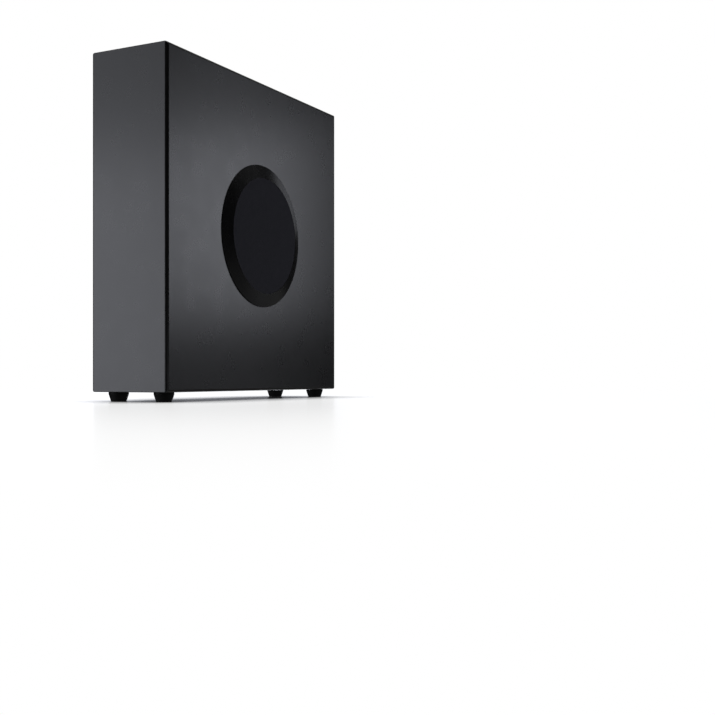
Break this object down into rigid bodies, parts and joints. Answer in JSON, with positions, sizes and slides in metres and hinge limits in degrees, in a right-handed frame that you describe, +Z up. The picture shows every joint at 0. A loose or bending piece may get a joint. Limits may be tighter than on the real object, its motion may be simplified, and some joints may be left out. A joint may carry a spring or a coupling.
{
  "type": "slim active subwoofer",
  "caption": "Slim upright active subwoofer box with a round cloth-covered woofer on one side, rear amplifier controls, a flared port and rubber feet.",
  "frame": {"origin": "middle of the footprint of the whole part, on the floor under the feet", "axes": "+Z up; +X is the side that the woofer faces; -Y is the narrow front and +Y the rear with the amplifier"},
  "size_m": [0.1226, 0.4276, 0.4329],
  "materials": {
    "black_vinyl": "fine-textured satin black vinyl wrap",
    "mdf": "bare MDF",
    "wadding": "loose polyester wadding",
    "satin_black_plastic": "satin moulded",
    "satin_aluminium": "satin brushed",
    "black_rubber": "matt",
    "black_steel": "black powder coat",
    "black_foam": "open-cell foam",
    "zinc_plate": "zinc plated steel",
    "ferrite": "sintered ferrite",
    "aluminium": "plain",
    "copper_wire": "enamelled copper wire",
    "spider_cloth": "resin-stiffened cotton",
    "black_paper": "pressed paper pulp",
    "phenolic_board": "phenolic board",
    "black_acoustic_cloth": "open woven polyester",
    "black_painted_plate": "fine-textured black paint",
    "blackened_screw": "black zinc",
    "black_plastic": "semi-gloss moulded",
    "light_pipe": "clear light pipe",
    "circuit_board": "green solder mask",
    "capacitor_sleeve": "shrink sleeve",
    "cable_sheath": "twin PVC lead"
  },
  "bodies": {
    "cabinet": {"vinyl_wrap": "black_vinyl", "plain_side_panel": "mdf", "baffle_panel": "mdf", "front_panel": "mdf", "top_panel": "mdf", "bottom_panel": "mdf", "rear_panel": "mdf", "window_brace": "mdf", "damping_wadding": "wadding", "reflex_port": "satin_black_plastic", "badge": "satin_aluminium", "rubber_foot_front_plain": "black_rubber", "rubber_foot_front_woofer": "black_rubber", "rubber_foot_rear_plain": "black_rubber", "rubber_foot_rear_woofer": "black_rubber", "woofer_basket": "black_steel", "basket_gasket": "black_foam", "top_plate": "zinc_plate", "ferrite_magnet": "ferrite", "yoke": "zinc_plate", "spider": "spider_cloth", "surround": "black_rubber", "terminal_strip": "phenolic_board", "woofer_screw_1": "zinc_plate", "woofer_screw_2": "zinc_plate", "woofer_screw_3": "zinc_plate", "woofer_screw_4": "zinc_plate", "trim_ring": "satin_black_plastic", "grille_frame": "satin_black_plastic", "grille_cloth": "black_acoustic_cloth", "amp_plate": "black_painted_plate", "amp_gasket": "black_foam", "plate_screw_1": "blackened_screw", "plate_screw_2": "blackened_screw", "plate_screw_3": "blackened_screw", "plate_screw_4": "blackened_screw", "mains_inlet": "black_plastic", "rocker_housing": "black_plastic", "level_pot": "zinc_plate", "phase_switch": "zinc_plate", "tact_switch": "black_plastic", "status_led": "light_pipe", "line_in_jack": "zinc_plate", "control_board": "circuit_board", "amp_board": "circuit_board", "transformer": "ferrite", "main_capacitor": "capacitor_sleeve", "wireless_module": "circuit_board", "heatsink": "aluminium", "speaker_cable": "cable_sheath"},
    "cone_assembly": {"cone": "black_paper", "dust_cap": "black_paper", "voice_coil_former": "aluminium", "voice_coil_winding": "copper_wire"},
    "rocker": {"power_rocker": "black_plastic"},
    "knob": {"level_knob": "black_plastic", "pot_shaft": "aluminium"},
    "slider": {"phase_slider": "black_plastic"},
    "button": {"pair_button": "black_plastic"}
  },
  "joints": [
    {"name": "cone_travel", "type": "slide", "parent": "cabinet", "child": "cone_assembly", "axis": [1, 0, 0], "range_m": [-0.004, 0.004], "stiffness_N_per_m": 1200, "deforming": ["surround", "spider"]},
    {"name": "rocker_tilt", "type": "hinge", "parent": "cabinet", "child": "rocker", "pos_m": [-0.00325, 0.20345, 0.12], "axis": [1, 0, 0], "range_deg": [-20, 0]},
    {"name": "level_turn", "type": "hinge", "parent": "cabinet", "child": "knob", "pos_m": [-0.01825, 0.20605, 0.203], "axis": [0, 1, 0], "range_deg": [-150, 150]},
    {"name": "phase_slide", "type": "slide", "parent": "cabinet", "child": "slider", "axis": [1, 0, 0], "range_m": [0, 0.004]},
    {"name": "pair_press", "type": "slide", "parent": "cabinet", "child": "button", "axis": [0, -1, 0], "range_m": [0, 0.0008], "stiffness_N_per_m": 600}
  ]
}
